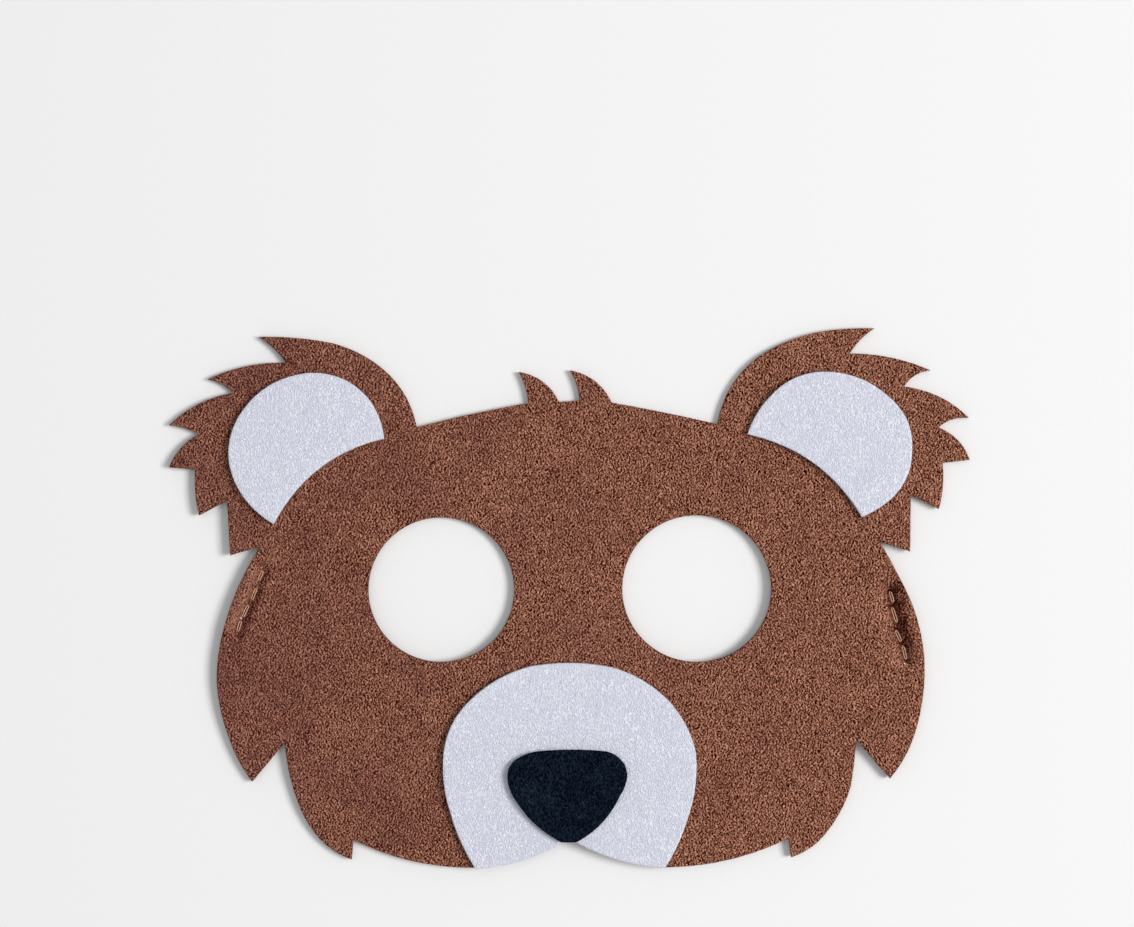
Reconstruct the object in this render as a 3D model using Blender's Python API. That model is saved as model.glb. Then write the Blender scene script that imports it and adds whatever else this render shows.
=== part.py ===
"""Bear face mask of craft felt for a child, lying face up.

One brown die-cut sheet carries two white inner ears, a white muzzle and a
black nose.  A flat elastic band is sewn to the back near both side edges and
lies in a shallow bow under the lower half of the face.
Metres, +X to the viewer's right, +Y up the face, +Z out of the face.
The origin is under the middle of the outline, on the surface it lies on.
"""
import math

import bmesh
import bpy
from mathutils import Vector
from mathutils.geometry import interpolate_bezier

# Driving dimensions.
MASK_WIDTH = 0.1833
MASK_HEIGHT = 0.1234
FACE_THICKNESS = 0.0020
PATCH_THICKNESS = 0.0015
STRAP_WIDTH = 0.0120
STRAP_THICKNESS = 0.0010
LAYER_GAP = 0.0003

# How far beyond the band the felt takes to come down to the surface.
SLOPE_RUN = 0.25 * MASK_WIDTH
# Spacing of the cuts that let a sheet bend, and how closely arcs are followed.
BEND_STEP = MASK_WIDTH / 30
ARC_STEP = 0.00005

# Outline tables, clockwise as seen from the front.  Each row is a corner:
#   across  share of MASK_WIDTH from the middle line, left of it negative
#   up      share of MASK_HEIGHT from the lowest edge
#   bow     rise of the edge from this corner to the next one, as a share of
#           its length; above zero it bulges outwards, below zero inwards

# Forehead with its two pointed tufts, from the left ear to the right ear.
FOREHEAD = (
    (-0.191, 0.816, 0.012),
    (-0.051, 0.861, -0.050),
    (-0.063, 0.919, 0.131),
    (-0.013, 0.863, 0.0),
    (0.013, 0.866, -0.057),
    (0.001, 0.922, 0.127),
    (0.053, 0.862, 0.008),
)
# Right ear: over the top, then five tufts down its outer side.
RIGHT_EAR = (
    (0.185, 0.822, 0.100),
    (0.238, 0.949, 0.062),
    (0.337, 0.998, 0.013),
    (0.381, 1.000, -0.053),
    (0.350, 0.953, 0.054),
    (0.451, 0.922, -0.120),
    (0.418, 0.892, 0.085),
    (0.499, 0.834, -0.108),
    (0.461, 0.816, 0.114),
    (0.500, 0.756, 0.0),
    (0.466, 0.750, 0.048),
    (0.461, 0.665, 0.0),
    (0.426, 0.691, 0.0),
    (0.425, 0.586, 0.0),
)
# Right cheek down to its tip, then the right half of the chin.
RIGHT_CHEEK = (
    (0.387, 0.605, 0.012),
    (0.425, 0.497, 0.047),
    (0.443, 0.370, 0.035),
    (0.433, 0.259, 0.055),
    (0.400, 0.165, 0.0),
    (0.358, 0.237, 0.010),
    (0.351, 0.150, 0.046),
    (0.324, 0.071, 0.083),
    (0.277, 0.019, 0.0),
    (0.274, 0.055, 0.059),
)
# Under the muzzle the brown sheet stops just short of the white edge.
UNDER_MUZZLE = (
    (0.119, 0.001, 0.053),
    (0.0, 0.064, 0.058),
)
# Left half of the chin and the left cheek, going up.
LEFT_CHEEK = (
    (-0.117, 0.000, 0.061),
    (-0.270, 0.052, 0.0),
    (-0.272, 0.015, 0.057),
    (-0.311, 0.052, 0.055),
    (-0.341, 0.130, 0.034),
    (-0.355, 0.232, 0.0),
    (-0.396, 0.159, 0.042),
    (-0.424, 0.237, 0.041),
    (-0.440, 0.348, 0.038),
    (-0.428, 0.459, 0.030),
    (-0.397, 0.567, 0.0),
)
# Left ear: five tufts up its outer side, then over the top.
LEFT_EAR = (
    (-0.386, 0.595, 0.0),
    (-0.423, 0.579, 0.0),
    (-0.427, 0.681, 0.0),
    (-0.462, 0.653, 0.040),
    (-0.467, 0.738, 0.0),
    (-0.500, 0.742, 0.093),
    (-0.462, 0.804, -0.048),
    (-0.500, 0.820, 0.079),
    (-0.420, 0.880, -0.086),
    (-0.452, 0.905, 0.061),
    (-0.354, 0.936, -0.051),
    (-0.388, 0.984, 0.027),
    (-0.298, 0.973, 0.055),
    (-0.236, 0.928, 0.092),
)
FACE = FOREHEAD + RIGHT_EAR + RIGHT_CHEEK + UNDER_MUZZLE + LEFT_CHEEK + LEFT_EAR

# White crescents in the ears: round outside, hollow towards the face.
INNER_EAR_LEFT = (
    (-0.368, 0.637, 0.080),
    (-0.417, 0.716, 0.128),
    (-0.411, 0.839, 0.124),
    (-0.322, 0.917, 0.122),
    (-0.249, 0.866, 0.066),
    (-0.231, 0.795, -0.115),
)
INNER_EAR_RIGHT = (
    (0.222, 0.803, 0.060),
    (0.250, 0.873, 0.102),
    (0.312, 0.919, 0.103),
    (0.400, 0.870, 0.121),
    (0.427, 0.774, 0.109),
    (0.400, 0.683, 0.040),
    (0.364, 0.650, -0.110),
)
# White muzzle: an egg with two lips and a notch between them below.
MUZZLE = (
    (-0.117, 0.000, 0.038),
    (-0.149, 0.107, 0.047),
    (-0.157, 0.209, 0.095),
    (-0.124, 0.311, 0.067),
    (-0.049, 0.374, 0.046),
    (0.051, 0.373, 0.070),
    (0.125, 0.308, 0.063),
    (0.157, 0.217, 0.055),
    (0.148, 0.097, 0.035),
    (0.119, 0.001, 0.062),
    (0.0, 0.056, 0.067),
)
# Black nose: a rounded triangle, flat side up.
NOSE = (
    (-0.010, 0.051, 0.070),
    (-0.066, 0.126, 0.080),
    (-0.077, 0.174, 0.105),
    (-0.068, 0.201, 0.055),
    (-0.043, 0.217, 0.026),
    (0.044, 0.218, 0.090),
    (0.063, 0.204, 0.088),
    (0.072, 0.176, 0.068),
    (0.063, 0.137, 0.084),
    (0.009, 0.051, 0.020),
)
# Eye holes: centre, and half width and half height in the same shares.
#   across, up, half_width, half_height
EYE_HOLES = (
    (-0.160, 0.515, 0.091, 0.134),
    (0.159, 0.517, 0.093, 0.136),
)
EYE_HOLE_SIDES = 48

# The band's centre line: its ends are sewn just outside the stitch rows, and
# between them it hangs in one shallow bow below both eye holes.
#   across, up of an end, its handle, the middle's handle, the middle
STRAP_LEFT_HALF = ((-0.407, 0.497), (-0.295, 0.419), (-0.136, 0.192), (0.0, 0.192))
STRAP_RIGHT_HALF = ((0.0, 0.192), (0.142, 0.192), (0.300, 0.395), (0.419, 0.448))
STRAP_STEPS = 24


def place(across, up):
    """Position in metres of a point given in shares of the outline's box."""
    return Vector((across * MASK_WIDTH, (up - 0.5) * MASK_HEIGHT))


def outline(corners):
    """Points along the bowed edges between the corners, in order."""
    points = []
    for row, following in zip(corners, corners[1:] + corners[:1]):
        start = place(*row[:2])
        chord = place(*following[:2]) - start
        length = chord.length
        outward = Vector((-chord.y, chord.x)) / length
        rise = row[2] * length
        pieces = max(
            1,
            math.ceil(math.sqrt(abs(rise) / ARC_STEP)),
            math.ceil(length / BEND_STEP),
        )
        for step in range(pieces):
            along = step / pieces
            bulge = 4 * rise * along * (1 - along)
            points.append(start + chord * along + outward * bulge)
    return points


def strap_route():
    """Centre line of the band from the left end to the right end."""
    left = [place(*point) for point in STRAP_LEFT_HALF]
    right = [place(*point) for point in STRAP_RIGHT_HALF]
    first = interpolate_bezier(left[0], left[1], left[2], left[3], STRAP_STEPS)
    second = interpolate_bezier(right[0], right[1], right[2], right[3], STRAP_STEPS)
    return [Vector(point[:2]) for point in first[:-1] + second]


ROUTE = strap_route()


def lie(x, y):
    """Height of the sheet's back above the surface it lies on.

    The felt rides over the band and comes down evenly on both sides of it.
    """
    here = Vector((x, y))
    distance = min((here - point).length for point in ROUTE)
    share = (distance - 0.65 * STRAP_WIDTH) / SLOPE_RUN
    share = min(max(share, 0.0), 1.0)
    lift = STRAP_THICKNESS + LAYER_GAP
    return lift * (1 - share * share * (3 - 2 * share))


def material(name, colour, roughness):
    """A plain non-metal material."""
    made = bpy.data.materials.new(name)
    made.use_nodes = True
    shader = made.node_tree.nodes["Principled BSDF"]
    shader.inputs["Base Color"].default_value = (*colour, 1.0)
    shader.inputs["Roughness"].default_value = roughness
    shader.inputs["Metallic"].default_value = 0.0
    made.diffuse_color = (*colour, 1.0)
    return made


def add_object(name, bm, look):
    """Turn a finished bmesh into an object of the scene."""
    bmesh.ops.recalc_face_normals(bm, faces=bm.faces[:])
    mesh = bpy.data.meshes.new(name)
    bm.to_mesh(mesh)
    bm.free()
    mesh.materials.append(look)
    made = bpy.data.objects.new(name, mesh)
    bpy.context.scene.collection.objects.link(made)
    return made


def cut_for_bending(bm):
    """Cut flat faces along a square grid, so that the sheet can bend."""
    for axis, extent in ((0, MASK_WIDTH), (1, MASK_HEIGHT)):
        count = round(extent / BEND_STEP)
        for step in range(count):
            centre = [0.0, 0.0, 0.0]
            normal = [0.0, 0.0, 0.0]
            centre[axis] = ((step + 0.5) / count - 0.5) * extent
            normal[axis] = 1.0
            bmesh.ops.bisect_plane(
                bm,
                geom=bm.verts[:] + bm.edges[:] + bm.faces[:],
                dist=BEND_STEP / 12,
                plane_co=centre,
                plane_no=normal,
            )


def felt_sheet(name, corners, thickness, height, look):
    """A die-cut sheet whose back lies at a height above the lie of the felt."""
    bm = bmesh.new()
    bm.faces.new([bm.verts.new((*point, 0.0)) for point in outline(corners)])
    cut_for_bending(bm)
    bmesh.ops.triangulate(bm, faces=bm.faces[:])
    front = bmesh.ops.extrude_face_region(bm, geom=bm.faces[:])["geom"]
    front = [item for item in front if isinstance(item, bmesh.types.BMVert)]
    bmesh.ops.translate(bm, verts=front, vec=(0.0, 0.0, thickness))
    for vert in bm.verts:
        vert.co.z += height + lie(vert.co.x, vert.co.y)
    bmesh.ops.triangulate(bm, faces=bm.faces[:])
    return add_object(name, bm, look)


def cut_eye_holes(sheet):
    """Punch both eye holes straight through the sheet."""
    for number, (across, up, half_width, half_height) in enumerate(EYE_HOLES):
        centre = place(across, up)
        bm = bmesh.new()
        bmesh.ops.create_cone(
            bm,
            cap_ends=True,
            segments=EYE_HOLE_SIDES,
            radius1=1.0,
            radius2=1.0,
            depth=10 * FACE_THICKNESS,
        )
        size = (half_width * MASK_WIDTH, half_height * MASK_HEIGHT, 1.0)
        bmesh.ops.scale(bm, vec=size, verts=bm.verts[:])
        bmesh.ops.translate(bm, vec=(*centre, 0.0), verts=bm.verts[:])
        cutter = add_object("eye_hole_cutter_%d" % (number + 1), bm, brown)
        cutter.hide_render = True
        cutter.display_type = "WIRE"
        cut = sheet.modifiers.new("eye hole %d" % (number + 1), "BOOLEAN")
        cut.operation = "DIFFERENCE"
        cut.solver = "EXACT"
        cut.object = cutter


def strap(name, look):
    """The flat band, swept along its centre line on the surface below."""
    bm = bmesh.new()
    rings = []
    for index, point in enumerate(ROUTE):
        before = ROUTE[max(index - 1, 0)]
        after = ROUTE[min(index + 1, len(ROUTE) - 1)]
        heading = (after - before).normalized()
        side = Vector((-heading.y, heading.x)) * (STRAP_WIDTH / 2)
        ring = []
        for edge, z in ((1, 0.0), (1, STRAP_THICKNESS), (-1, STRAP_THICKNESS), (-1, 0.0)):
            ring.append(bm.verts.new((*(point + side * edge), z)))
        rings.append(ring)
    for ring, following in zip(rings, rings[1:]):
        for corner in range(4):
            other = (corner + 1) % 4
            bm.faces.new((ring[corner], ring[other], following[other], following[corner]))
    bm.faces.new(rings[0])
    bm.faces.new(rings[-1])
    return add_object(name, bm, look)


for old in list(bpy.data.objects):
    bpy.data.objects.remove(old, do_unlink=True)

brown = material("brown felt", (0.18, 0.066, 0.042), 0.95)
white = material("white felt", (0.67, 0.68, 0.77), 0.95)
black = material("black felt", (0.006, 0.008, 0.014), 0.90)
elastic = material("brown elastic", (0.10, 0.045, 0.030), 0.80)

face = felt_sheet("face_felt", FACE, FACE_THICKNESS, 0.0, brown)
cut_eye_holes(face)

# The patches lie on the face, and the nose on the muzzle.
patch_height = FACE_THICKNESS + LAYER_GAP
nose_height = patch_height + PATCH_THICKNESS + LAYER_GAP
felt_sheet("inner_ear_left", INNER_EAR_LEFT, PATCH_THICKNESS, patch_height, white)
felt_sheet("inner_ear_right", INNER_EAR_RIGHT, PATCH_THICKNESS, patch_height, white)
felt_sheet("muzzle", MUZZLE, PATCH_THICKNESS, patch_height, white)
felt_sheet("nose", NOSE, PATCH_THICKNESS, nose_height, black)

strap("elastic_strap", elastic)
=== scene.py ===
"""Bear face mask of craft felt for a child, lying face up on a pale surface.

Metres, +X to the viewer's right, +Y up the face, +Z out of the face.
"""
import math
import random

import bmesh
import bpy
from mathutils import Matrix, Vector, kdtree, noise
from mathutils.geometry import interpolate_bezier


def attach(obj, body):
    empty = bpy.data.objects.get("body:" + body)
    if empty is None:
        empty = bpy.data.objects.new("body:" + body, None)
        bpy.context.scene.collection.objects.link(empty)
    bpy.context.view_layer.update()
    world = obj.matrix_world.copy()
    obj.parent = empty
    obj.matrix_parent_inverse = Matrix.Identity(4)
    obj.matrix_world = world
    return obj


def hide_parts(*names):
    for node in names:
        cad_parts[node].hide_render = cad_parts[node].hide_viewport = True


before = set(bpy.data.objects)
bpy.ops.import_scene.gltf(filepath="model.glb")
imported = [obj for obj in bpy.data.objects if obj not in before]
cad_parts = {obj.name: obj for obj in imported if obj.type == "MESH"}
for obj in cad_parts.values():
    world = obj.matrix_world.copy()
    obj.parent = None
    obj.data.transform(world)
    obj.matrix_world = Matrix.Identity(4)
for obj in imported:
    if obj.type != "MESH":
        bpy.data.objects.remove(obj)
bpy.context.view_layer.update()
scene = bpy.context.scene

# The view is straight down on the mask, a little above its middle.  A pale
# world fills the shadows, a broad lamp overhead evens them out, and a lamp on
# the right draws the short soft shadows at the left edges of the white pieces.
FELT_LEVEL = 0.003
VIEW_CENTRE = (-0.00055, 0.03074)
VIEW_DISTANCE = 0.720
scene.view_settings.view_transform = "Standard"

lens = bpy.data.cameras.new("camera")
lens.lens = 100
lens.sensor_width = 36
lens.clip_start = 0.01
camera = bpy.data.objects.new("camera", lens)
camera.location = (*VIEW_CENTRE, FELT_LEVEL + VIEW_DISTANCE)
scene.collection.objects.link(camera)
scene.camera = camera


def softbox(name, place, size, watts, colour):
    """A square lamp that faces the middle of the mask."""
    lamp = bpy.data.lights.new(name, "AREA")
    lamp.shape = "SQUARE"
    lamp.size = size
    lamp.energy = watts
    lamp.color = colour
    stand = bpy.data.objects.new(name, lamp)
    stand.location = place
    stand.rotation_euler = (-Vector(place)).to_track_quat("-Z", "Y").to_euler()
    scene.collection.objects.link(stand)


softbox("lamp_right", (1.60, 0.05, 1.95), 0.95, 51.5, (1.0, 0.99, 0.975))
softbox("lamp_overhead", (-0.20, 0.20, 2.40), 1.80, 11.0, (1.0, 1.0, 1.0))

world = bpy.data.worlds.new("pale room")
world.use_nodes = True
world.node_tree.nodes["Background"].inputs["Color"].default_value = (0.95, 0.97, 1.0, 1.0)
world.node_tree.nodes["Background"].inputs["Strength"].default_value = 0.38
scene.world = world

# The surface below is one wide sheet of matt off-white card, with a grain too
# faint to draw the eye.
FLOOR_SIZE = 3.0

bm = bmesh.new()
bmesh.ops.create_grid(bm, x_segments=2, y_segments=2, size=FLOOR_SIZE / 2)
floor_mesh = bpy.data.meshes.new("floor")
bm.to_mesh(floor_mesh)
bm.free()
floor = bpy.data.objects.new("floor", floor_mesh)
scene.collection.objects.link(floor)

card = bpy.data.materials.new("matt card")
card.use_nodes = True
nodes, links = card.node_tree.nodes, card.node_tree.links
shader = nodes["Principled BSDF"]
shader.inputs["Specular IOR Level"].default_value = 0.15
shader.inputs["Roughness"].default_value = 0.9
where = nodes.new("ShaderNodeTexCoord")
grain = nodes.new("ShaderNodeTexNoise")
grain.inputs["Scale"].default_value = 900.0
tone = nodes.new("ShaderNodeMix")
tone.data_type = "RGBA"
tone.inputs["A"].default_value = (0.785, 0.785, 0.785, 1.0)
tone.inputs["B"].default_value = (0.805, 0.805, 0.805, 1.0)
links.new(where.outputs["Object"], grain.inputs["Vector"])
links.new(grain.outputs["Fac"], tone.inputs["Factor"])
links.new(tone.outputs["Result"], shader.inputs["Base Color"])
floor_mesh.materials.append(card)

# The elastic is one flat knitted band, brown, about as wide as a finger.  Its
# ends are sewn to the back of the felt near both side edges, and relaxed it
# lies in one shallow bow under the lower half of the face.
MASK_WIDTH = 0.1833
MASK_HEIGHT = 0.1234
BAND_WIDTH = 0.0120
BAND_THICKNESS = 0.0010
BAND_RIBS = 9
RIB_POINTS = 8
RIB_DEPTH = 0.00018
EDGE_FULLNESS = 4.0
LOOP_SLANT = 0.0006
LOOPS_PER_METRE = 900.0
# Ends and handles of the two curves of its centre line, as shares of the
# outline's box.
BAND_LEFT_HALF = ((-0.407, 0.497), (-0.295, 0.419), (-0.136, 0.192), (0.0, 0.192))
BAND_RIGHT_HALF = ((0.0, 0.192), (0.142, 0.192), (0.300, 0.395), (0.419, 0.448))
BAND_STEPS = 70


def place(across, up):
    """Position in metres of a point given in shares of the outline's box."""
    return Vector((across * MASK_WIDTH, (up - 0.5) * MASK_HEIGHT))


def band_route():
    """Centre line of the band from its left end to its right end."""
    left = [place(*point) for point in BAND_LEFT_HALF]
    right = [place(*point) for point in BAND_RIGHT_HALF]
    first = interpolate_bezier(*left, BAND_STEPS)
    second = interpolate_bezier(*right, BAND_STEPS)
    return [Vector((point.x, point.y)) for point in first[:-1] + second]


def add_piece(name, bm, look):
    """Make a finished bmesh a smooth-shaded piece that rides on the mask."""
    mesh = bpy.data.meshes.new(name)
    bm.to_mesh(mesh)
    bm.free()
    mesh.shade_smooth()
    mesh.materials.append(look)
    piece = bpy.data.objects.new(name, mesh)
    scene.collection.objects.link(piece)
    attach(piece, "root")
    return piece


def colour(red, green, blue):
    """A colour given in the 0 to 255 of a paint chart, for a shader socket."""
    shares = [value / 255 for value in (red, green, blue)]
    return (*[s / 12.92 if s < 0.04045 else ((s + 0.055) / 1.055) ** 2.4 for s in shares], 1.0)


def new_look(name, roughness, sheen, sheen_tint):
    """A cloth material: its nodes, its links and its shader."""
    look = bpy.data.materials.new(name)
    look.use_nodes = True
    shader = look.node_tree.nodes["Principled BSDF"]
    shader.inputs["Roughness"].default_value = roughness
    shader.inputs["Specular IOR Level"].default_value = 0.1
    shader.inputs["Sheen Weight"].default_value = sheen
    shader.inputs["Sheen Roughness"].default_value = 0.6
    shader.inputs["Sheen Tint"].default_value = sheen_tint
    return look, look.node_tree.nodes, look.node_tree.links, shader


def feed(links, socket, value):
    """Give a socket a plain value, or link another node's output to it."""
    if isinstance(value, bpy.types.NodeSocket):
        links.new(value, socket)
    else:
        socket.default_value = value


def add_math(nodes, links, operation, *values):
    """One step of arithmetic; each input is a number or another node's output."""
    step = nodes.new("ShaderNodeMath")
    step.operation = operation
    for socket, value in zip(step.inputs, values):
        feed(links, socket, value)
    return step.outputs[0]


def add_noise(nodes, links, spot, scale, detail):
    """Smooth random blotches, about so many to a metre."""
    blotches = nodes.new("ShaderNodeTexNoise")
    blotches.inputs["Scale"].default_value = scale
    blotches.inputs["Detail"].default_value = detail
    links.new(spot, blotches.inputs["Vector"])
    return blotches


def add_share(nodes, links, value, low, high):
    """How far a value has come from low to high, from 0 to 1."""
    span = nodes.new("ShaderNodeMapRange")
    span.inputs["From Min"].default_value = low
    span.inputs["From Max"].default_value = high
    links.new(value, span.inputs["Value"])
    return span.outputs["Result"]


def add_blend(nodes, links, share, first, second):
    """A colour between two; each input is a value or another node's output."""
    blend = nodes.new("ShaderNodeMix")
    blend.data_type = "RGBA"
    feed(links, blend.inputs["Factor"], share)
    feed(links, blend.inputs["A"], first)
    feed(links, blend.inputs["B"], second)
    return blend.outputs["Result"]


def carried(nodes, name):
    """A value that the mesh carries at each of its points."""
    attribute = nodes.new("ShaderNodeAttribute")
    attribute.attribute_name = name
    return attribute.outputs["Fac"]


def dress(nodes, links, shader, paint, height, depth, strength):
    """Give a shader its colour, and a relief so many metres deep."""
    bump = nodes.new("ShaderNodeBump")
    bump.inputs["Distance"].default_value = depth
    bump.inputs["Strength"].default_value = strength
    links.new(height, bump.inputs["Height"])
    links.new(bump.outputs["Normal"], shader.inputs["Normal"])
    links.new(paint, shader.inputs["Base Color"])


def wave(nodes, links, source, per_metre, sharpness):
    """A value that swings between 0 and 1, so many times a metre."""
    turn = add_math(nodes, links, "MULTIPLY", source, per_metre * 2 * math.pi)
    swing = add_math(nodes, links, "SINE", turn)
    share = add_math(nodes, links, "MULTIPLY_ADD", swing, 0.5, 0.5)
    return add_math(nodes, links, "POWER", share, sharpness)


def band_look():
    """Knitted elastic: rows of small slanting loops on each lengthwise rib."""
    look, nodes, links, shader = new_look("brown elastic", 0.75, 0.25, colour(190, 140, 120))
    rib = wave(nodes, links, carried(nodes, "across"), BAND_RIBS / BAND_WIDTH, 1.0)
    slant = add_math(nodes, links, "MULTIPLY_ADD", rib, LOOP_SLANT, carried(nodes, "along"))
    loops = wave(nodes, links, slant, LOOPS_PER_METRE, 0.8)
    height = add_math(nodes, links, "MULTIPLY", rib, loops)
    # The colour darkens with depth into the grooves between the ribs and loops: painted shade.
    paint = add_blend(nodes, links, height, colour(52, 30, 24), colour(112, 72, 58))
    dress(nodes, links, shader, paint, height, depth=0.0002, strength=0.8)
    return look


def elastic_band(name, look):
    """The band: one ribbed cross-section, drawn out along the centre line."""
    route = band_route()
    bm = bmesh.new()
    along = bm.verts.layers.float.new("along")
    across = bm.verts.layers.float.new("across")
    steps = RIB_POINTS * BAND_RIBS
    bmesh.ops.create_circle(bm, segments=2 * steps, radius=1.0, cap_ends=True)
    for vert in bm.verts:
        turn = math.atan2(vert.co.y, vert.co.x)
        side = math.cos(turn)
        flat = min(1.0, EDGE_FULLNESS * math.sqrt(max(0.0, 1.0 - abs(side))))
        rib = math.cos(math.pi * BAND_RIBS * side) ** 2
        half = (BAND_THICKNESS / 2 - RIB_DEPTH * (1.0 - rib)) * flat
        vert[across] = side * BAND_WIDTH / 2
        vert.co = (0.0, vert[across], math.copysign(half, math.sin(turn)) + BAND_THICKNESS / 2)
    heading = math.atan2(*(route[1] - route[0]).yx)
    bmesh.ops.rotate(bm, verts=bm.verts[:], cent=(0, 0, 0), matrix=Matrix.Rotation(heading, 3, "Z"))
    bmesh.ops.translate(bm, verts=bm.verts[:], vec=(*route[0], 0.0))
    moving = bm.faces[:]
    run = 0.0
    for index in range(1, len(route)):
        before, here = route[index - 1], route[index]
        after = route[min(index + 1, len(route) - 1)]
        drawn = bmesh.ops.extrude_face_region(bm, geom=moving)["geom"]
        moving = [item for item in drawn if isinstance(item, bmesh.types.BMFace)]
        verts = [item for item in drawn if isinstance(item, bmesh.types.BMVert)]
        new_heading = math.atan2(*(after - before).yx)
        turn = Matrix.Rotation(new_heading - heading, 3, "Z")
        bmesh.ops.rotate(bm, verts=verts, cent=(*before, 0.0), matrix=turn)
        bmesh.ops.translate(bm, verts=verts, vec=(*(here - before), 0.0))
        heading = new_heading
        run += (here - before).length
        for vert in verts:
            vert[along] = run
    bmesh.ops.recalc_face_normals(bm, faces=bm.faces[:])
    band = add_piece(name, bm, look)
    return band, run


elastic = band_look()
band, band_length = elastic_band("elastic_band", elastic)
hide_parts("elastic_strap")

# The face is one sheet of brown craft felt, 2 mm thick, pressed from short
# crimped fibres and cut with a die: rounded rims, two eye holes, pointed tufts
# on the ears.  It rides over the band, and the stitches pull it in at the sides.
FACE_THICKNESS = 0.0020
LAYER_GAP = 0.0003
LEVEL_REACH = 0.65 * BAND_WIDTH
SLOPE_RUN = 0.25 * MASK_WIDTH
BROAD_WAVES, BROAD_HEIGHT = 45, 0.00010
SMALL_WAVES, SMALL_HEIGHT = 260, 0.00003
BEND_STEP = 0.0011
STITCHED_STEP = 0.00035
STITCHED_REACH = 0.0042
ARC_STEP = 0.00001
HOLE_SIDES = 96
# The rounding of a cut rim: two steps inwards, each with its rise.  The wall
# below is divided at two levels, where it is a little uneven.
RIM = ((0.00006, 0.00012), (0.00014, 0.00008))
RIM_LEVELS = (0.36, 0.64)
RIM_SHAKE, SHAKE_FINE, SHAKE_HIGH = 0.00005, 1400, 2500

# Outline tables, clockwise as seen from the front.  Each row is a corner: its
# place across and up as shares of the outline's box, then the bow of the edge
# to the next corner as a share of its length, above zero outwards.
FOREHEAD = (
    (-0.191, 0.816, 0.012),
    (-0.051, 0.861, -0.050),
    (-0.063, 0.919, 0.131),
    (-0.013, 0.863, 0.0),
    (0.013, 0.866, -0.057),
    (0.001, 0.922, 0.127),
    (0.053, 0.862, 0.008),
)
RIGHT_EAR = (
    (0.185, 0.822, 0.100),
    (0.238, 0.949, 0.062),
    (0.337, 0.998, 0.013),
    (0.381, 1.000, -0.053),
    (0.350, 0.953, 0.054),
    (0.451, 0.922, -0.120),
    (0.418, 0.892, 0.085),
    (0.499, 0.834, -0.108),
    (0.461, 0.816, 0.114),
    (0.500, 0.756, 0.0),
    (0.466, 0.750, 0.048),
    (0.461, 0.665, 0.0),
    (0.426, 0.691, 0.0),
    (0.425, 0.586, 0.0),
)
RIGHT_CHEEK = (
    (0.387, 0.605, 0.012),
    (0.425, 0.497, 0.047),
    (0.443, 0.370, 0.035),
    (0.433, 0.259, 0.055),
    (0.400, 0.165, 0.0),
    (0.358, 0.237, 0.010),
    (0.351, 0.150, 0.046),
    (0.324, 0.071, 0.083),
    (0.277, 0.019, 0.0),
    (0.274, 0.055, 0.059),
)
UNDER_MUZZLE = (
    (0.119, 0.001, 0.053),
    (0.0, 0.064, 0.058),
)
LEFT_CHEEK = (
    (-0.117, 0.000, 0.061),
    (-0.270, 0.052, 0.0),
    (-0.272, 0.015, 0.057),
    (-0.311, 0.052, 0.055),
    (-0.341, 0.130, 0.034),
    (-0.355, 0.232, 0.0),
    (-0.396, 0.159, 0.042),
    (-0.424, 0.237, 0.041),
    (-0.440, 0.348, 0.038),
    (-0.428, 0.459, 0.030),
    (-0.397, 0.567, 0.0),
)
LEFT_EAR = (
    (-0.386, 0.595, 0.0),
    (-0.423, 0.579, 0.0),
    (-0.427, 0.681, 0.0),
    (-0.462, 0.653, 0.040),
    (-0.467, 0.738, 0.0),
    (-0.500, 0.742, 0.093),
    (-0.462, 0.804, -0.048),
    (-0.500, 0.820, 0.079),
    (-0.420, 0.880, -0.086),
    (-0.452, 0.905, 0.061),
    (-0.354, 0.936, -0.051),
    (-0.388, 0.984, 0.027),
    (-0.298, 0.973, 0.055),
    (-0.236, 0.928, 0.092),
)
FACE = FOREHEAD + RIGHT_EAR + RIGHT_CHEEK + UNDER_MUZZLE + LEFT_CHEEK + LEFT_EAR
EYE_HOLES = ((-0.160, 0.515, 0.091, 0.134), (0.159, 0.517, 0.093, 0.136))

# Each row of stitches, in metres, from its top: both ends of every stitch that
# shows on the front.  The thread dives through the felt between them.
LEFT_STITCHES = (
    ((-0.07006, 0.00624), (-0.07106, 0.00400)),
    ((-0.07152, 0.00229), (-0.07266, -0.00046)),
    ((-0.07335, -0.00149), (-0.07472, -0.00446)),
    ((-0.07511, -0.00514), (-0.07591, -0.00777)),
)
RIGHT_STITCHES = (
    ((0.07328, 0.00151), (0.07410, -0.00112)),
    ((0.07376, -0.00208), (0.07490, -0.00569)),
    ((0.07458, -0.00731), (0.07589, -0.01008)),
    ((0.07623, -0.01090), (0.07703, -0.01417)),
)
# How deep each row pulls the felt down, and how far the felt outside it then
# stands up; the right-hand row was drawn tighter.
LEFT_PULL = (0.00070, 0.00035)
RIGHT_PULL = (0.00095, 0.00065)
VALLEY_WIDTH = 0.0010
LIP_RUN, LIP_FALL = 0.0019, 0.0040
ROW_FADE = 0.0024
# The right-hand row also dents the felt where its thread dives, and the dents are painted darker:
# pressed felt and painted shade.
DENT_DEPTH, DENT_WIDTH = 0.00045, 0.00044
# The side of each row that falls into shade, which is painted darker: how far from the stitches it
# lies and how wide it is, how dark it is painted at most for pressed felt and painted shade, and
# how much painted light the felt across the row gets on its lit side.  The left-hand row comes
# first.
SHADED_SIDE = ((-0.0010, 0.0009, 0.60, 0.60), (0.0017, 0.0013, 0.95, 0.25))
# Where the painted light lies, as a share of the shade's distance, and its width.
LIT_ASIDE, LIT_WIDTH = 1.6, 0.0015
# The darkened flanks of both rows, pressed felt and painted shade, weaken below this height on the
# face, by this share.
ROW_TIRES, TIRED_LOSS = -0.0105, 0.75
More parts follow.
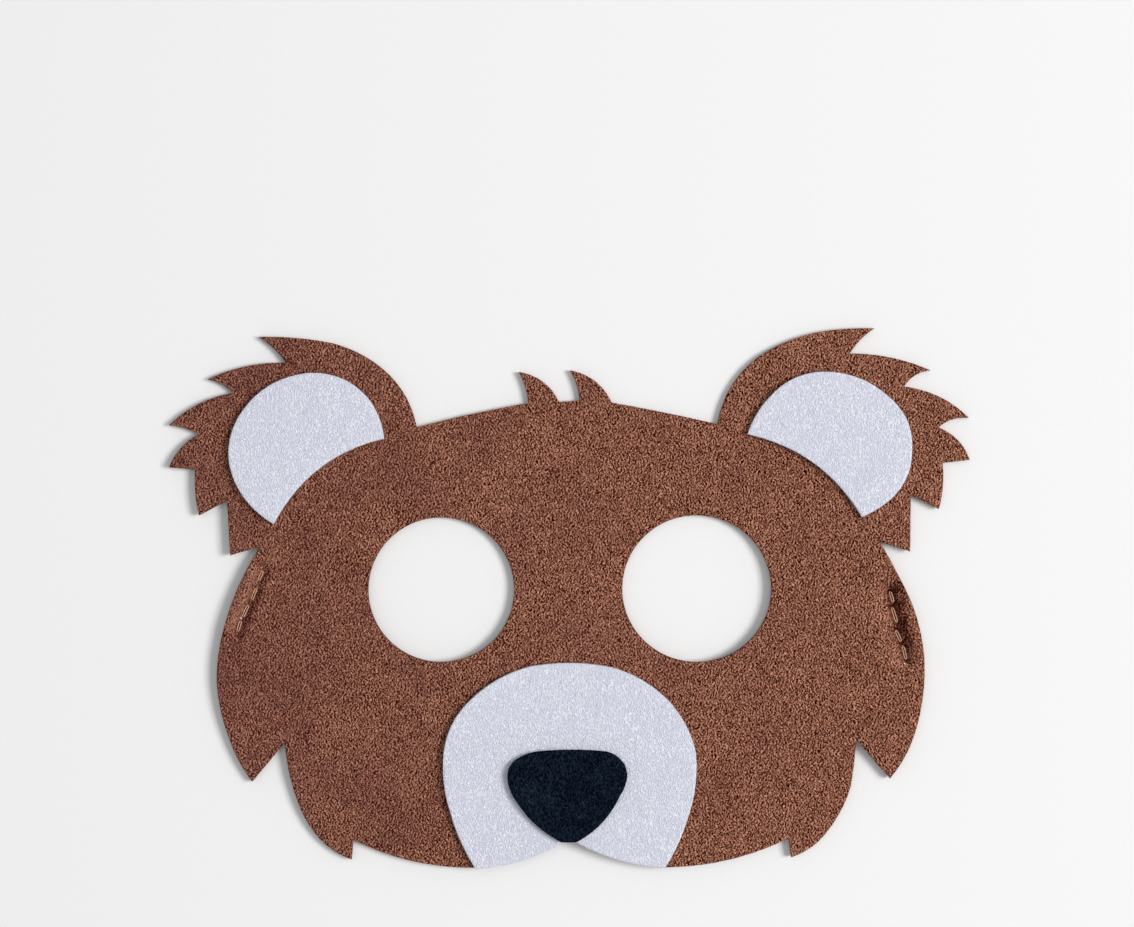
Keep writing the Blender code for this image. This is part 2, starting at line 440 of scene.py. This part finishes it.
# The painted shade is blotchy: how fine it is across and up, its middle strength, its swing and its
# least.  The valley itself is painted a little darker too, for pressed felt and painted shade.
BLOTCHES = (900, 500)
BLOTCH_MIDDLE, BLOTCH_SWING, BLOTCH_LEAST = 0.75, 0.9, 0.2
VALLEY_PRESS_AND_SHADE = 0.15
# The back follows the front down by a share, to a limit, and stays off the floor.
BACK_SHARE, BACK_MOST, BACK_LOWEST = 0.3, 0.00018, 0.00003
ROW_STEP, PATH_STEP = 0.0001, 0.0005


def nearest_in(points):
    """A finder of the nearest of some points on the plane."""
    tree = kdtree.KDTree(len(points))
    for index, point in enumerate(points):
        tree.insert((*point, 0.0), index)
    tree.balance()
    return tree


def spaced(start, end, step):
    """Points along a straight line, a step apart."""
    count = max(1, math.ceil((end - start).length / step))
    return [start.lerp(end, index / count) for index in range(count + 1)]


def stitch_line(stitches):
    """Points all along a row, over its stitches and the gaps between."""
    ends = [Vector(end) for stitch in stitches for end in stitch]
    return [point for pair in zip(ends, ends[1:]) for point in spaced(*pair, ROW_STEP)]


def row_of(stitches, pulls, outer):
    """What the felt beside a row needs to know: where it is and how it pulls."""
    along = (Vector(stitches[-1][-1]) - Vector(stitches[0][0])).normalized()
    outward = Vector((-along.y, along.x))
    outward *= math.copysign(1.0, outward.x * outer)
    return nearest_in(stitch_line(stitches)), along, outward, *pulls


BAND_PATH = [
    point
    for pair in zip(band_route(), band_route()[1:])
    for point in spaced(*pair, PATH_STEP)
]
BAND_NEAR = nearest_in(BAND_PATH)
ROWS = [row_of(LEFT_STITCHES, LEFT_PULL, -1), row_of(RIGHT_STITCHES, RIGHT_PULL, 1)]
DIVES = nearest_in([end for stitch in RIGHT_STITCHES for end in stitch])


def eased(share):
    """0 to 1 with no corner at either end."""
    share = min(max(share, 0.0), 1.0)
    return share * share * (3 - 2 * share)


def bell(distance, width):
    """1 at no distance, fading to 0 on both sides of it."""
    return math.exp(-((distance / width) ** 2))


def lie(x, y):
    """Height of the felt's back above the surface, over the band and beside it."""
    distance = BAND_NEAR.find((x, y, 0.0))[2]
    lift = BAND_THICKNESS + LAYER_GAP
    return lift * (1 - eased((distance - LEVEL_REACH) / SLOPE_RUN))


def ripple(x, y):
    """The slight waviness of a sheet that has been packed flat and taken out."""
    broad = noise.noise(Vector((x * BROAD_WAVES, y * BROAD_WAVES, 3.1)))
    small = noise.noise(Vector((x * SMALL_WAVES, y * SMALL_WAVES, 7.7)))
    return BROAD_HEIGHT * broad + SMALL_HEIGHT * small


def pull(x, y):
    """How far the stitches draw the felt's front down at a point, how dark it is painted there for
    pressed felt and painted shade, and how much painted light it gets on the lit side of a row.
    """
    drop, press_and_shade, painted_light_amount = 0.0, 0.0, 0.0
    for near, along, outward, depth, rise in ROWS:
        foot, _, distance = near.find((x, y, 0.0))
        if distance > LIP_RUN + LIP_FALL + ROW_FADE:
            continue
        offset = Vector((x - foot.x, y - foot.y))
        aside = offset.dot(outward)
        fade = 1 - eased(abs(offset.dot(along)) / ROW_FADE)
        valley = bell(aside, VALLEY_WIDTH) * fade
        lip = eased(aside / LIP_RUN) * (1 - eased((aside - LIP_RUN) / LIP_FALL)) * fade
        drop += depth * valley - rise * lip
        shaded, width, most, lightest = SHADED_SIDE[outward.x > 0]
        blotch = noise.noise(Vector((x * BLOTCHES[0], y * BLOTCHES[1], 1.3)))
        blotch = BLOTCH_MIDDLE + BLOTCH_SWING * blotch
        flank = bell(aside - shaded, width) * fade * min(max(blotch, BLOTCH_LEAST), 1.0)
        flank *= 1 - TIRED_LOSS * eased((ROW_TIRES - y) / ROW_FADE)
        press_and_shade += VALLEY_PRESS_AND_SHADE * valley + flank * most
        painted_light_amount += bell(aside + LIT_ASIDE * shaded, LIT_WIDTH) * fade * lightest
    # Where the thread dives, the dent is painted darker: pressed felt and painted shade.
    dent = bell(DIVES.find((x, y, 0.0))[2], DENT_WIDTH)
    return drop + DENT_DEPTH * dent, min(press_and_shade + dent, 1.0), painted_light_amount


def face_top(x, y):
    """Height of the front of the brown felt."""
    return FACE_THICKNESS + lie(x, y) + ripple(x, y) - pull(x, y)[0]


def face_bottom(x, y):
    """Height of its back, which gives way less and stays off the surface below."""
    drop = pull(x, y)[0]
    give = min(drop, BACK_SHARE * drop, BACK_MOST)
    return max(lie(x, y) + ripple(x, y) - give, BACK_LOWEST)


def outline(corners):
    """Points along the bowed edges between the corners, in order."""
    points = []
    for row, following in zip(corners, corners[1:] + corners[:1]):
        start = place(*row[:2])
        chord = place(*following[:2]) - start
        length = chord.length
        outward = Vector((-chord.y, chord.x)) / length
        rise = row[2] * length
        pieces = max(1, math.ceil(math.sqrt(abs(rise) / ARC_STEP)), math.ceil(length / BEND_STEP))
        for step in range(pieces):
            share = step / pieces
            points.append(start + chord * share + outward * (4 * rise * share * (1 - share)))
    return points


def cut_along(bm, faces, low, high, step):
    """Cut faces along a square grid, so that the sheet can bend there."""
    for axis in (0, 1):
        count = math.ceil((high[axis] - low[axis]) / step)
        for index in range(1, count):
            centre, normal = [0.0, 0.0, 0.0], [0.0, 0.0, 0.0]
            centre[axis] = low[axis] + index * (high[axis] - low[axis]) / count
            normal[axis] = 1.0
            geom = set(faces)
            for face in faces:
                geom.update(face.edges)
                geom.update(face.verts)
            cut = bmesh.ops.bisect_plane(
                bm, geom=list(geom), dist=step / 12, plane_co=centre, plane_no=normal
            )
            faces = [item for item in cut["geom"] if isinstance(item, bmesh.types.BMFace)]


def blank(corners, holes):
    """The flat cut shape with its rims rolled down, before it has a thickness."""
    bm = bmesh.new()
    corner_verts = [bm.verts.new((*point, 0.0)) for point in outline(corners)]
    for pair in zip(corner_verts, corner_verts[1:] + corner_verts[:1]):
        bm.edges.new(pair)
    for across, up, half_width, half_height in holes:
        ring = bmesh.ops.create_circle(bm, segments=HOLE_SIDES, radius=1.0, cap_ends=False)["verts"]
        size = (half_width * MASK_WIDTH, half_height * MASK_HEIGHT, 1.0)
        bmesh.ops.scale(bm, vec=size, verts=ring)
        bmesh.ops.translate(bm, vec=(*place(across, up), 0.0), verts=ring)
    bmesh.ops.triangle_fill(bm, use_beauty=True, edges=bm.edges[:], normal=(0, 0, 1))
    bmesh.ops.recalc_face_normals(bm, faces=bm.faces[:])
    if bm.faces[:][0].normal.z < 0:
        bmesh.ops.reverse_faces(bm, faces=bm.faces[:])
    inner = bm.faces[:]
    for vert in bm.verts:
        vert.co.z = -sum(fall for _, fall in RIM)
    for width, fall in RIM:
        bmesh.ops.inset_region(
            bm, faces=inner, thickness=width, depth=fall, use_even_offset=True, use_boundary=True
        )
    return bm


def felt_sheet(name, corners, holes, thickness, top, bottom, look):
    """A sheet of felt between two heights, rounded at its cut rims."""
    bm = blank(corners, holes)
    pressed_and_shaded = bm.verts.layers.float.new("pressed_and_shaded")
    painted_light = bm.verts.layers.float.new("painted_light")
    low = [min(vert.co[axis] for vert in bm.verts) for axis in (0, 1)]
    high = [max(vert.co[axis] for vert in bm.verts) for axis in (0, 1)]
    cut_along(bm, bm.faces[:], low, high, BEND_STEP)
    for near, *_ in ROWS if holes else ():
        beside = [
            face for face in bm.faces
            if near.find((*face.calc_center_median().xy, 0.0))[2] < STITCHED_REACH
        ]
        corners_there = [vert.co for face in beside for vert in face.verts]
        ends = [[pick(co[axis] for co in corners_there) for axis in (0, 1)] for pick in (min, max)]
        cut_along(bm, beside, *ends, STITCHED_STEP)
    bmesh.ops.triangulate(bm, faces=bm.faces[:])
    front = bmesh.ops.extrude_face_region(bm, geom=bm.faces[:])["geom"]
    front = {item for item in front if isinstance(item, bmesh.types.BMVert)}
    for vert in bm.verts:
        vert.co.z = thickness + vert.co.z if vert in front else -vert.co.z
    for share in RIM_LEVELS:
        bmesh.ops.bisect_plane(
            bm,
            geom=bm.verts[:] + bm.edges[:] + bm.faces[:],
            dist=1e-7,
            plane_co=(0.0, 0.0, share * thickness),
            plane_no=(0.0, 0.0, 1.0),
        )
    for vert in bm.verts:
        x, y, level = vert.co
        share = min(max(level / thickness, 0.0), 1.0)
        base, crown = bottom(x, y), top(x, y)
        if holes:
            vert[pressed_and_shaded], vert[painted_light] = pull(x, y)[1:]
        vert.co.z = base + (crown - base) * share
        if 0.1 < share < 0.9:
            shake = noise.noise_vector(Vector((x * SHAKE_FINE, y * SHAKE_FINE, level * SHAKE_HIGH)))
            vert.co += Vector((shake.x, shake.y, 0.0)) * RIM_SHAKE
    bmesh.ops.triangulate(bm, faces=bm.faces[:])
    bmesh.ops.recalc_face_normals(bm, faces=bm.faces[:])
    return add_piece(name, bm, look)


# The lays of fibres in the felt: the angle of each in degrees, how fine it is
# across its fibres and along them, and a shift that sets its pattern apart.
LAYS = ((-20, 3.4, 1.5, 0.0), (6, 3.8, 1.6, 4.0), (30, 3.4, 1.5, 9.0))
CRIMP = (0.0009, 0.0007, 0.0004)
# Where in the pattern a light strand begins and is whole, then a dark gap, then
# the duller dye, and how much of that dye is mixed in at most.
STRAND_SPAN = (0.57, 0.73)
GAP_SPAN = (0.46, 0.29)
DULL_SPAN, DULLEST = (0.40, 0.85), 0.36
PAINTED_LIGHT_SWING, PRESSED_AND_SHADED_SWING = 0.12, -0.13
PRESSED_SHADE = 0.55


def felt_group():
    """Pressed crimped fibres: light strands, dark gaps and cloudy patches."""
    group = bpy.data.node_groups.new("felt fibres", "ShaderNodeTree")
    for name, kind in (
        ("Middle", "NodeSocketColor"),
        ("Strand", "NodeSocketColor"),
        ("Gap", "NodeSocketColor"),
        ("Cloud", "NodeSocketColor"),
        ("Fineness", "NodeSocketFloat"),
        ("Cloudiness", "NodeSocketFloat"),
        ("Combing", "NodeSocketFloat"),
        ("Painted light", "NodeSocketFloat"),
        ("Pressed and shaded", "NodeSocketFloat"),
        ("Drift", "NodeSocketFloat"),
        ("Strand share", "NodeSocketFloat"),
        ("Gap share", "NodeSocketFloat"),
    ):
        group.interface.new_socket(name=name, in_out="INPUT", socket_type=kind)
    group.interface.new_socket(name="Colour", in_out="OUTPUT", socket_type="NodeSocketColor")
    group.interface.new_socket(name="Height", in_out="OUTPUT", socket_type="NodeSocketFloat")
    nodes, links = group.nodes, group.links
    given = nodes.new("NodeGroupInput").outputs
    result = nodes.new("NodeGroupOutput")
    spot = nodes.new("ShaderNodeTexCoord").outputs["Object"]

    def step(operation, *values):
        return add_math(nodes, links, operation, *values)

    # Crimp: the place is shifted to and fro, so that straight streaks curl.
    crimp = add_noise(nodes, links, spot, 700.0, 1.0)
    centred = nodes.new("ShaderNodeVectorMath")
    centred.operation = "SUBTRACT"
    centred.inputs[1].default_value = (0.5, 0.5, 0.5)
    bent = nodes.new("ShaderNodeVectorMath")
    bent.operation = "MULTIPLY_ADD"
    bent.inputs[1].default_value = CRIMP
    links.new(crimp.outputs["Color"], centred.inputs[0])
    links.new(centred.outputs[0], bent.inputs[0])
    links.new(spot, bent.inputs[2])
    sized = nodes.new("ShaderNodeVectorMath")
    sized.operation = "SCALE"
    links.new(bent.outputs[0], sized.inputs[0])
    links.new(given["Fineness"], sized.inputs["Scale"])

    # Lays of fibres that cross at shallow angles.
    highest, lowest = None, None
    for angle, across, along, shift in LAYS:
        laid = nodes.new("ShaderNodeMapping")
        laid.vector_type = "TEXTURE"
        laid.inputs["Rotation"].default_value = (0.0, 0.0, math.radians(angle))
        laid.inputs["Location"].default_value = (shift, shift, shift)
        laid.inputs["Scale"].default_value = (1 / across, 1 / along, 1 / across)
        links.new(sized.outputs[0], laid.inputs["Vector"])
        lay = add_noise(nodes, links, laid.outputs[0], 1.0, 0.0).outputs["Fac"]
        highest = step("MAXIMUM", highest, lay) if highest else lay
        lowest = step("MINIMUM", lowest, lay) if lowest else lay

    # Clouds: where the fibres lie thicker or thinner, a few millimetres across.
    cloud = add_noise(nodes, links, spot, 190.0, 4.0)
    cloud.inputs["Roughness"].default_value = 0.65
    swing = step("SUBTRACT", cloud.outputs["Fac"], 0.5)
    swing = step("MULTIPLY", swing, given["Cloudiness"])

    # Comb: carding leaves the strands about evenly apart, mostly upright.  It
    # shows on the front and back, and not where the sheet is cut through.
    comb = nodes.new("ShaderNodeTexGabor")
    comb.inputs["Scale"].default_value = 900.0
    comb.inputs["Frequency"].default_value = 1.6
    comb.inputs["Anisotropy"].default_value = 0.45
    comb.inputs["Orientation"].default_value = 0.0
    links.new(bent.outputs[0], comb.inputs["Vector"])
    facing = nodes.new("ShaderNodeSeparateXYZ")
    around = nodes.new("ShaderNodeNewGeometry")
    links.new(around.outputs["Normal"], facing.inputs["Vector"])
    flatness = step("MULTIPLY", facing.outputs["Z"], facing.outputs["Z"])
    combed = step("SUBTRACT", comb.outputs["Value"], 0.5)
    combed = step("MULTIPLY", combed, flatness)
    swing = step("MULTIPLY_ADD", combed, given["Combing"], swing)

    # Painted light on a row's lit side brings out light strands; pressed felt and painted shade
    # bring out dark gaps.
    swing = step("MULTIPLY_ADD", given["Painted light"], PAINTED_LIGHT_SWING, swing)
    swing = step("MULTIPLY_ADD", given["Pressed and shaded"], PRESSED_AND_SHADED_SWING, swing)
    light = add_share(nodes, links, step("ADD", highest, swing), *STRAND_SPAN)
    dark = add_share(nodes, links, step("ADD", lowest, swing), *GAP_SPAN)

    # Dye: duller in wide patches.  Drift makes the colour steadily duller and darker towards one
    # side; on the brown face, towards the left.
    tint = add_noise(nodes, links, spot, 60.0, 3.0)
    side = nodes.new("ShaderNodeSeparateXYZ")
    links.new(spot, side.inputs["Vector"])
    duller = step("MULTIPLY_ADD", side.outputs["X"], given["Drift"], tint.outputs["Fac"])
    duller = step("MULTIPLY", add_share(nodes, links, duller, *DULL_SPAN), DULLEST)
    gaps = step("MULTIPLY", dark, given["Gap share"])
    strands = step("MULTIPLY", light, given["Strand share"])
    body = add_blend(nodes, links, gaps, given["Middle"], given["Gap"])
    body = add_blend(nodes, links, strands, body, given["Strand"])
    body = add_blend(nodes, links, duller, body, given["Cloud"])
    links.new(body, result.inputs["Colour"])
    links.new(step("SUBTRACT", light, dark), result.inputs["Height"])
    return group


def felt_look(name, shade, relief, fibres):
    """Felt of one dye, darker where stitches press it and in the painted shade beside them, lighter
    with painted light on their lit side.
    """
    look, nodes, links, shader = new_look(name, 0.95, 0.0, fibres["Strand"])
    shader.inputs["Specular IOR Level"].default_value = 0.0
    felt = nodes.new("ShaderNodeGroup")
    felt.node_tree = FELT_FIBRES
    for socket, value in fibres.items():
        felt.inputs[socket].default_value = value
    pressed_and_shaded = carried(nodes, "pressed_and_shaded")
    links.new(pressed_and_shaded, felt.inputs["Pressed and shaded"])
    links.new(carried(nodes, "painted_light"), felt.inputs["Painted light"])
    # Pressed felt and the painted shade beside the stitch rows are mixed towards the shade colour.
    deepest = add_math(nodes, links, "MULTIPLY", pressed_and_shaded, PRESSED_SHADE)
    paint = add_blend(nodes, links, deepest, felt.outputs["Colour"], shade)
    dress(nodes, links, shader, paint, felt.outputs["Height"], relief, strength=0.7)
    return look


def fibre_look(name, darkest, lightest):
    """Single fibres, whose shade wanders from one to the next."""
    look, nodes, links, shader = new_look(name, 0.7, 0.3, lightest)
    spot = nodes.new("ShaderNodeTexCoord").outputs["Object"]
    wander = add_noise(nodes, links, spot, 700.0, 2.0)
    share = add_share(nodes, links, wander.outputs["Fac"], 0.35, 0.65)
    paint = add_blend(nodes, links, share, darkest, lightest)
    links.new(paint, shader.inputs["Base Color"])
    return look


def strands_piece(name, strands, look):
    """Thin round strands, each tapering along its own few points."""
    curve = bpy.data.curves.new(name, "CURVE")
    curve.dimensions = "3D"
    curve.bevel_depth = 1.0
    curve.bevel_resolution = 0
    curve.use_fill_caps = True
    for points, radii in strands:
        spline = curve.splines.new("POLY")
        spline.points.add(len(points) - 1)
        for knot, point, radius in zip(spline.points, points, radii):
            knot.co = (*point, 1.0)
            knot.radius = radius
    drawn = bpy.data.objects.new(name + "_lines", curve)
    scene.collection.objects.link(drawn)
    bpy.context.view_layer.update()
    solid = drawn.evaluated_get(bpy.context.evaluated_depsgraph_get())
    mesh = bpy.data.meshes.new_from_object(solid)
    bpy.data.objects.remove(drawn)
    bpy.data.curves.remove(curve)
    bm = bmesh.new()
    bm.from_mesh(mesh)
    bpy.data.meshes.remove(mesh)
    bmesh.ops.recalc_face_normals(bm, faces=bm.faces[:])
    return add_piece(name, bm, look)


# A loose fibre on the front, in metres: its length and the least that is kept,
# its radius, the rise of its four points and a chance rise on top, then its
# taper.  It takes up no more than a share of the way to the nearest cut rim.
FIBRE_LENGTH, FIBRE_LEAST = (0.0009, 0.0026), 0.0004
FIBRE_RADIUS = (0.000022, 0.000045)
FIBRE_RISES, FIBRE_JUMP = (-0.00004, 0.00007, 0.00008, -0.00004), 0.00004
FIBRE_TAPER = (0.7, 1.0, 0.9, 0.5)
FIBRE_ROOM = 0.8
# A hair on the cut rim: its length, its radius and taper, how far below the
# front it starts, how far it strays up or down, and its least height.  Each of
# its four points has a share of the length, and the first is set inside.
HAIR_LENGTH = (0.00008, 0.00028)
HAIR_RADIUS, HAIR_TAPER = (0.000012, 0.000024), (1.0, 1.0, 0.8, 0.5)
HAIR_BELOW = (0.0003, 0.0014)
HAIR_STRAY, HAIR_LOWEST = 0.00006, 0.00005
HAIR_KNOTS = ((0.0, 0.0002), (0.35, 0.0), (0.7, 0.0), (1.0, 0.0))
RIM_STEP = 0.0004
HOLE_POINTS = 200


def rim_points(edge, holes):
    """Points close together along the cut edge and around the holes."""
    rims = [point for pair in zip(edge, edge[1:] + edge[:1]) for point in spaced(*pair, RIM_STEP)]
    for across, up, half_width, half_height in holes:
        for index in range(HOLE_POINTS):
            turn = index * math.tau / HOLE_POINTS
            out = half_width * MASK_WIDTH * math.cos(turn)
            rise = half_height * MASK_HEIGHT * math.sin(turn)
            rims.append(place(across, up) + Vector((out, rise)))
    return rims


def loose_fibres(name, sheet, height, count, at_rim, corners, holes, look, seed):
    """Fibres that stand a little proud of a sheet's front and of its cut rim."""
    draw = random.Random(seed)
    fronts = [face for face in sheet.data.polygons if face.normal.z > 0.8]
    strands = []
    chosen = draw.choices(fronts, weights=[face.area for face in fronts], k=count)
    edge = outline(corners)
    cut = nearest_in(rim_points(edge, holes))
    for face in chosen:
        heading = draw.gauss(math.pi / 2, 0.75)
        length = draw.uniform(*FIBRE_LENGTH)
        curl = draw.gauss(0.0, 0.9)
        radius = draw.uniform(*FIBRE_RADIUS)
        point = face.center.copy().xy
        length = min(length, FIBRE_ROOM * cut.find((*point, 0.0))[2])
        if length < FIBRE_LEAST:
            continue
        points = []
        for index, rise in enumerate(FIBRE_RISES):
            points.append((*point, height(*point) + rise + draw.uniform(0.0, FIBRE_JUMP)))
            turn = heading + curl * (index / 3 - 0.5) * 2
            point = point + Vector((math.cos(turn), math.sin(turn))) * (length / 3)
        strands.append((points, [radius * share for share in FIBRE_TAPER]))
    for _ in range(at_rim):
        index = draw.randrange(len(edge))
        start, end = edge[index - 1], edge[index]
        point = start.lerp(end, draw.random())
        side = (end - start).normalized()
        outward = Vector((-side.y, side.x))
        length = draw.uniform(*HAIR_LENGTH)
        lean = side * draw.gauss(0.0, 0.8) + outward
        level = height(*point) - draw.uniform(*HAIR_BELOW)
        radius = draw.uniform(*HAIR_RADIUS)
        points = []
        for share, inward in HAIR_KNOTS:
            spot = point - outward * inward + lean * (length * share)
            points.append((*spot, max(level + draw.gauss(0.0, HAIR_STRAY), HAIR_LOWEST)))
        strands.append((points, [radius * share for share in HAIR_TAPER]))
    return strands_piece(name, strands, look)


FELT_FIBRES = felt_group()
brown_felt = felt_look(
    "brown felt",
    # The colour of pressed felt and of the painted shade beside the stitch rows.
    shade=colour(50, 10, 12),
    relief=0.00025,
    fibres={
        "Middle": colour(103, 41, 22),
        "Strand": colour(200, 142, 116),
        "Gap": colour(34, 0, 0),
        "Cloud": colour(86, 42, 50),
        "Strand share": 1.0,
        "Gap share": 1.0,
        "Fineness": 1560.0,
        "Cloudiness": 0.08,
        "Combing": 0.45,
        "Drift": -2.8,
    },
)
brown_fibres = fibre_look("brown fibres", colour(84, 42, 32), colour(182, 128, 102))

face = felt_sheet(
    "face_felt_sheet", FACE, EYE_HOLES, FACE_THICKNESS, face_top, face_bottom, brown_felt
)
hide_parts("face_felt")
face_fluff = loose_fibres(
    "face_loose_fibres", face, face_top, 5200, 900, FACE, EYE_HOLES, brown_fibres, seed=11
)

# The inner ears are two crescents of thinner white felt, glued flat to the
# brown ears: round outside and hollow towards the face.
PATCH_THICKNESS = 0.0015
GLUE_GAP = 0.00005
INNER_EAR_LEFT = (
    (-0.368, 0.637, 0.080),
    (-0.417, 0.716, 0.128),
    (-0.411, 0.839, 0.124),
    (-0.322, 0.917, 0.122),
    (-0.249, 0.866, 0.066),
    (-0.231, 0.795, -0.115),
)
INNER_EAR_RIGHT = (
    (0.222, 0.803, 0.060),
    (0.250, 0.873, 0.102),
    (0.312, 0.919, 0.103),
    (0.400, 0.870, 0.121),
    (0.427, 0.774, 0.109),
    (0.400, 0.683, 0.040),
    (0.364, 0.650, -0.110),
)

white_felt = felt_look(
    "white felt",
    shade=colour(176, 180, 196),
    relief=0.00016,
    fibres={
        "Middle": colour(223, 224, 238),
        "Strand": colour(240, 242, 250),
        "Gap": colour(176, 180, 196),
        "Cloud": colour(214, 216, 230),
        "Strand share": 0.6,
        "Gap share": 0.5,
        "Fineness": 1250.0,
        "Cloudiness": 0.18,
        "Combing": 0.12,
        "Drift": 0.0,
    },
)
white_fibres = fibre_look("white fibres", colour(206, 209, 222), colour(246, 247, 252))


def patch_bottom(x, y):
    """Underside of a patch, glued to the front of the face."""
    return face_top(x, y) + GLUE_GAP


def patch_top(x, y):
    """Front of a patch: the glue line and its own thickness above the face."""
    return face_top(x, y) + LAYER_GAP + PATCH_THICKNESS + 0.5 * ripple(x + 0.3, y)


def white_patch(node, corners, fibres, at_rim, seed):
    """A white patch with its loose fibres, in place of its CAD node."""
    thickness = PATCH_THICKNESS + LAYER_GAP - GLUE_GAP
    patch = felt_sheet(node + "_sheet", corners, (), thickness, patch_top, patch_bottom, white_felt)
    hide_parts(node)
    fluff = loose_fibres(
        node + "_loose_fibres", patch, patch_top, fibres, at_rim, corners, (), white_fibres, seed
    )
    return patch


white_patch("inner_ear_left", INNER_EAR_LEFT, 260, 160, seed=21)
white_patch("inner_ear_right", INNER_EAR_RIGHT, 260, 160, seed=22)

# The muzzle is an egg of the same white felt with two lips and a notch below,
# glued over the lower edge of the face.
MUZZLE = (
    (-0.117, 0.000, 0.038),
    (-0.149, 0.107, 0.047),
    (-0.157, 0.209, 0.095),
    (-0.124, 0.311, 0.067),
    (-0.049, 0.374, 0.046),
    (0.051, 0.373, 0.070),
    (0.125, 0.308, 0.063),
    (0.157, 0.217, 0.055),
    (0.148, 0.097, 0.035),
    (0.119, 0.001, 0.062),
    (0.0, 0.056, 0.067),
)

muzzle = white_patch("muzzle", MUZZLE, 760, 260, seed=23)

# The nose is a rounded triangle of black felt, flat side up, glued on the
# muzzle.  A few paler fibres show in it.
NOSE = (
    (-0.010, 0.051, 0.070),
    (-0.066, 0.126, 0.080),
    (-0.077, 0.174, 0.105),
    (-0.068, 0.201, 0.055),
    (-0.043, 0.217, 0.026),
    (0.044, 0.218, 0.090),
    (0.063, 0.204, 0.088),
    (0.072, 0.176, 0.068),
    (0.063, 0.137, 0.084),
    (0.009, 0.051, 0.020),
)

black_felt = felt_look(
    "black felt",
    shade=colour(2, 3, 6),
    relief=0.00020,
    fibres={
        "Middle": colour(12, 20, 32),
        "Strand": colour(36, 48, 64),
        "Gap": colour(2, 3, 6),
        "Cloud": colour(9, 14, 26),
        "Strand share": 0.6,
        "Gap share": 0.8,
        "Fineness": 1000.0,
        "Cloudiness": 0.20,
        "Combing": 0.18,
        "Drift": 0.0,
    },
)
black_fibres = fibre_look("black fibres", colour(10, 14, 24), colour(60, 72, 90))


def nose_bottom(x, y):
    """Underside of the nose, glued to the front of the muzzle."""
    return patch_top(x, y) + GLUE_GAP


def nose_top(x, y):
    """Front of the nose, one patch and its glue line above the muzzle."""
    return patch_top(x, y) + LAYER_GAP + PATCH_THICKNESS


nose = felt_sheet(
    "nose_sheet", NOSE, (), PATCH_THICKNESS + LAYER_GAP - GLUE_GAP,
    nose_top, nose_bottom, black_felt,
)
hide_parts("nose")
nose_fluff = loose_fibres(
    "nose_loose_fibres", nose, nose_top, 170, 90, NOSE, (), black_fibres, seed=31
)

# Each end of the band is sewn on by hand with a doubled tan thread, four long
# stitches in a slanting row.  The thread is twisted from two plies.
THREAD_PLY = 0.00007
STRAND_APART = 0.00052
PLY_TURN = 0.0009
KNOT_STEP, LEAST_KNOTS = 0.00010, 12
# How far a stitch bulges above the felt and its ends dive into it, then where
# the thread runs under the band and how far its ends turn up there.
STITCH_CREST = 0.00022
DIVE = 0.00060
UNDER_LEVEL = 2.2 * THREAD_PLY
UNDER_RISE = 0.00015
# The frays at a cut end, and the points of one: how far it leans out there as a
# share of the lean, its height above the felt and its radius.
FRAYS = 7
FRAY_LEAN = 0.00016
FRAY_KNOTS = ((0.0, -0.0003, 0.00009), (0.3, 0.0001, 0.00008), (1.0, 0.00032, 0.00005))


def thread_look():
    """Twisted polyester thread: satin, with a fine mottle of two tans."""
    look, nodes, links, shader = new_look("tan thread", 0.45, 0.2, colour(245, 205, 172))
    spot = nodes.new("ShaderNodeTexCoord").outputs["Object"]
    fuzz = add_noise(nodes, links, spot, 2600.0, 2.0).outputs["Fac"]
    paint = add_blend(nodes, links, fuzz, colour(172, 114, 88), colour(255, 208, 174))
    dress(nodes, links, shader, paint, fuzz, depth=0.00004, strength=0.6)
    return look


def stitch_plies(start, end, middle, crest, dive):
    """The plies of both strands of one taut stitch, whose ends turn down or up."""
    side = (end - start).normalized()
    side = Vector((-side.y, side.x))
    length = (end - start).length
    count = max(LEAST_KNOTS, round(length / KNOT_STEP))
    plies = []
    for strand in (-0.5, 0.5):
        for ply in (0, math.pi):
            points = []
            for index in range(count + 1):
                share = index / count
                reach = abs(2 * share - 1)
                centre = start.lerp(end, share) + side * (STRAND_APART * strand * (1 - reach ** 5))
                turn = ply + 2 * math.pi * share * length / PLY_TURN
                spot = centre + side * (math.cos(turn) * THREAD_PLY)
                height = middle + crest * (1 - reach * reach) - dive * reach ** 10
                points.append((*spot, height + math.sin(turn) * THREAD_PLY))
            plies.append((points, [THREAD_PLY] * len(points)))
    return plies


def stitch_row(name, stitches, look):
    """A whole row: long stitches on the front, and those under the band."""
    plies = []
    ends = [(Vector(start), Vector(end)) for start, end in stitches]
    for start, end in ends:
        floor_of_valley = min(face_top(*start.lerp(end, share)) for share in (0.3, 0.5, 0.7))
        plies += stitch_plies(start, end, floor_of_valley + 2 * THREAD_PLY, STITCH_CREST, DIVE)
    for (_, start), (end, _) in zip(ends, ends[1:]):
        plies += stitch_plies(start, end, UNDER_LEVEL, 0.0, -UNDER_RISE)
    row = strands_piece(name, plies, look)


def cut_end(name, spot, look):
    """A frayed tuft where the thread was cut off after the knot, drawn in the white fibres' pale
    colours.
    """
    x, y = spot
    base = face_top(x, y)
    tips = []
    for index in range(FRAYS):
        turn = index * math.tau / FRAYS
        lean = Vector((math.cos(turn), math.sin(turn))) * FRAY_LEAN
        points = []
        for share, lift, _ in FRAY_KNOTS:
            points.append((x + share * lean.x, y + share * lean.y, base + lift))
        tips.append((points, [radius for _, _, radius in FRAY_KNOTS]))
    strands_piece(name, tips, look)


thread = thread_look()
stitch_row("stitches_left", LEFT_STITCHES, thread)
stitch_row("stitches_right", RIGHT_STITCHES, thread)
cut_end("thread_end_left", (-0.07506, -0.00457), white_fibres)
cut_end("thread_end_right", (0.07660, -0.01499), white_fibres)
